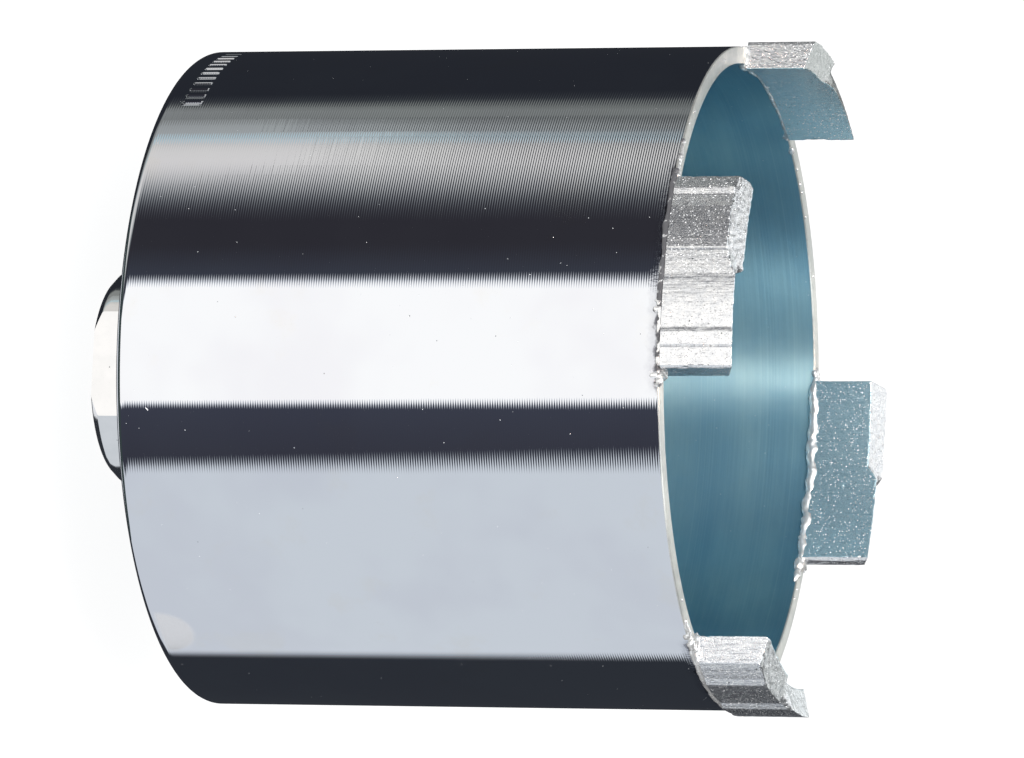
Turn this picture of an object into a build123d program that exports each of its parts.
from build123d import *
import math
import os

# Dry diamond core bit, 82 mm over the segments, with an M16 female spindle thread.
#
# Frame: +Z is the cutting axis, from the spindle towards the crown. The origin
# is the centre of the hub's flat back face, which is also the mouth of the
# spindle thread, so the bit stands on its hub with the open cup upwards.
# Millimetres throughout.

os.makedirs("parts", exist_ok=True)

# ---------------------------------------------------------------- dimensions
cup_r = 40.3            # outside radius of the turned cup wall
cup_bore_r = 38.2       # inside radius of the cup
cup_len = 66.9          # back face of the cup to the bare rim
base_thick = 4.0        # floor of the cup
back_corner_r = 1.2     # rounded outer back edge
floor_corner_r = 1.5    # inner corner between floor and wall
rim_break = 0.25        # small bevels on both edges of the rim

hub_len = 12.5          # hub standing out behind the cup
hub_r = 13.2            # round hub
hub_chamfer = 1.0       # back edge of the hub
hub_flats = 23.0        # across the two spanner flats
hub_flat_tilt = 8.5     # flats' normal, degrees from -Y towards -X
spigot_r = 10.0         # hub's spigot through the floor
spigot_len = 5.2        # from the cup's back face
weld_leg = 1.4          # fillet weld around the spigot, inside the cup

thread_nominal = 16.0   # M16 x 2
thread_core_r = 7.0     # bored to the thread's core, 14 mm
thread_lead_r = 8.2     # countersink radius at both mouths

seg_r_out = 41.0        # cutting radius
seg_r_in = 37.6
seg_arc = 36.0          # degrees, measured on the inner face
braze_gap = 0.15        # film of braze between rim and segment
braze_leg = 1.1         # braze fillet down the outside of the wall
braze_leg_in = 0.9      # and down the inside
braze_over = 1.0        # degrees that the braze runs past a segment's ends

# One pressed segment each: start angle on the rim, angle where the crown's two
# bevels change over, then crown heights over the rim: first half at the outer
# and inner edge, second half at the outer and inner edge.
segments = {
    "segment_1": (0.2, 18.0, 8.78, 7.65, 7.40, 8.80),
    "segment_2": (90.9, 18.0, 8.50, 7.40, 7.20, 8.45),
    "segment_3": (180.2, 18.0, 8.60, 7.35, 7.35, 8.60),
    "segment_4": (270.2, 16.4, 8.70, 7.75, 7.35, 8.75),
}

# outside of a segment as (angle from its start, radius): a proud leading half
# with a fine groove and a step, which all four share
lead_half = [(1.3, 40.70), (1.75, 41.0), (4.65, 41.0), (4.93, 40.78), (5.2, 41.0),
             (7.1, 41.0), (8.1, 40.86)]
# then a cross groove or a step, a set-back trailing half and its bevels, which
# came out of the press and the dressing a little differently on each
trail_half = {
    "segment_1": [(16.3, 40.86), (16.6, 40.58), (17.2, 40.58), (21.0, 40.86), (21.3, 40.72),
                  (21.6, 40.86), (29.2, 40.86), (31.6, 40.62), (32.8, 40.93), (35.6, 40.32)],
    "segment_2": [(16.3, 40.86), (16.6, 40.58), (17.2, 40.58), (17.5, 40.86), (18.6, 40.86),
                  (21.2, 40.45), (31.4, 40.45), (33.5, 40.25), (36.9, 39.55)],
    "segment_3": [(16.3, 40.86), (16.6, 40.58), (17.2, 40.58), (17.5, 40.86), (18.6, 40.86),
                  (21.2, 40.45), (30.6, 40.45), (32.6, 40.25), (35.8, 39.55)],
    "segment_4": [(14.2, 40.98), (16.1, 40.52), (26.3, 40.86), (28.15, 40.60), (32.8, 40.30)],
}
# corners of the trailing end, from the outside inwards
end_face = {
    "segment_1": [(36.4, 38.40), (35.65, seg_r_in)],
    "segment_2": [(37.2, 38.20), (36.95, seg_r_in)],
    "segment_3": [(36.1, 38.20), (35.85, seg_r_in)],
    "segment_4": [(35.6, 37.78), (35.45, seg_r_in)],
}

z_back = hub_len
z_rim = z_back + cup_len


def polar(r, ang):
    """Point at radius r and rim angle ang: 0 is -Y, 90 is -X."""
    a = math.radians(ang)
    return (-r * math.sin(a), -r * math.cos(a))


def turned(points, arc=360.0):
    """Ring turned from a closed (r, z) outline."""
    wire = Polyline(*[(r, 0, z) for r, z in points], close=True)
    return revolve(make_face(wire), axis=Axis.Z, revolution_arc=arc)


# ---------------------------------------------------------------- turned cup
outer = turned([(0, z_back), (cup_r, z_back), (cup_r, z_rim), (0, z_rim)])
outer = fillet(outer.edges().filter_by(GeomType.CIRCLE).group_by(Axis.Z)[0], back_corner_r)
hollow = turned([(0, z_back + base_thick), (cup_bore_r, z_back + base_thick),
                 (cup_bore_r, z_rim + 5), (0, z_rim + 5)])
hollow = fillet(hollow.edges().filter_by(GeomType.CIRCLE).group_by(Axis.Z)[0], floor_corner_r)
cup = outer - hollow
cup = cup - turned([(0, z_back - 5), (spigot_r, z_back - 5),
                    (spigot_r, z_back + base_thick + 5), (0, z_back + base_thick + 5)])
rim_edges = cup.edges().filter_by(GeomType.CIRCLE).group_by(Axis.Z)[-1]
cup = chamfer(rim_edges, rim_break)

# ---------------------------------------------------------------- threaded hub
spigot_top = z_back + spigot_len
lead = thread_lead_r - thread_core_r
hub = turned([
    (thread_lead_r, 0), (hub_r - hub_chamfer, 0), (hub_r, hub_chamfer), (hub_r, z_back),
    (spigot_r, z_back), (spigot_r, spigot_top), (thread_lead_r, spigot_top),
    (thread_core_r, spigot_top - lead), (thread_core_r, lead)])
for side in (0, 180):
    flat = Pos(0, -hub_flats / 2 - 10, (z_back - 0.9) / 2 - 1) * Box(40, 20, z_back - 0.9 + 2)
    hub = hub - Rot(0, 0, -hub_flat_tilt + side) * flat

weld = turned([(spigot_r, z_back + base_thick), (spigot_r + weld_leg, z_back + base_thick),
               (spigot_r + 0.45 * weld_leg, z_back + base_thick + 0.45 * weld_leg),
               (spigot_r, spigot_top)])


# ---------------------------------------------------------------- segments
def plan_outline(name, start):
    """Outline of a pressed segment seen from the crown."""
    def p(a, r):
        return polar(r, start + a)

    def run(q0, q1):
        """A line where it is short, an arc that follows the rim where it is long."""
        if abs(q1[0] - q0[0]) > 1.2:
            mid = ((q0[0] + q1[0]) / 2, (q0[1] + q1[1]) / 2)
            return ThreePointArc(p(*q0), p(*mid), p(*q1))
        return Line(p(*q0), p(*q1))

    outside = lead_half + trail_half[name]
    pieces = [run(q0, q1) for q0, q1 in zip(outside, outside[1:])]
    end = [outside[-1]] + end_face[name]
    pieces += [Line(p(*q0), p(*q1)) for q0, q1 in zip(end, end[1:])]
    last = end[-1]
    pieces.append(ThreePointArc(p(*last), p(last[0] / 2, seg_r_in), p(0.0, seg_r_in)))
    pieces.append(Line(p(0.0, seg_r_in), p(*outside[0])))
    return Face(Wire(pieces))


def crown_half(a0, a1, h_out, h_in):
    """Sector whose top slopes from h_out at the cutting radius to h_in inside."""
    slope = (h_out - h_in) / (seg_r_out - seg_r_in)
    r_a, r_b = seg_r_in - 2.0, seg_r_out + 2.0
    top_a = z_rim + h_in - 2.0 * slope
    top_b = z_rim + h_out + 2.0 * slope
    ring = turned([(r_a, z_rim - 2), (r_b, z_rim - 2), (r_b, top_b), (r_a, top_a)], a1 - a0)
    # turned() sweeps from +X about +Z, and rim angles run the other way from -Y
    return Rot(0, 0, -90.0 - a1) * ring


def make_segment(name, start, mid, o1, i1, o2, i2):
    prism = Pos(0, 0, z_rim + braze_gap) * extrude(plan_outline(name, start), 12)
    if prism.bounding_box().min.Z < z_rim:
        prism = Pos(0, 0, 12) * prism
    first = crown_half(start - 6, start + mid, o1, i1)
    second = crown_half(start + mid, start + seg_arc + 6, o2, i2)
    body = (prism & first) + (prism & second)
    return body


def make_braze(start):
    """Braze film under a segment with a fillet on each side of the wall."""
    a0, a1 = start - braze_over + 0.6, start + seg_arc + braze_over
    t = z_rim + braze_gap
    # the film reaches no further out than the narrowest part of the segment
    section = [
        (cup_bore_r, z_rim - braze_leg_in), (cup_bore_r, z_rim - rim_break),
        (cup_bore_r + rim_break, z_rim), (cup_r - rim_break, z_rim),
        (cup_r, z_rim - rim_break), (cup_r, z_rim - braze_leg),
        (cup_r + 0.30, z_rim - 0.45), (cup_r + 0.38, t),
        (seg_r_in + 0.05, t), (seg_r_in + 0.15, z_rim - 0.35),
    ]
    return Rot(0, 0, -90.0 - a1) * turned(section, a1 - a0)


solids = {"cup_body": cup, "threaded_hub": hub, "hub_weld": weld}
for name, (start, mid, o1, i1, o2, i2) in segments.items():
    solids[name] = make_segment(name, start, mid, o1, i1, o2, i2)
    solids["braze_" + name[-1]] = make_braze(start)

for name, shape in solids.items():
    parts = shape.solids()
    if len(parts) == 1:
        shape = parts[0]
    export_step(shape, "parts/%s.step" % name)
    b = shape.bounding_box()
    print("%-13s solids %d  volume %9.1f mm3  size %.1f x %.1f x %.1f"
          % (name, len(parts), shape.volume, b.size.X, b.size.Y, b.size.Z))
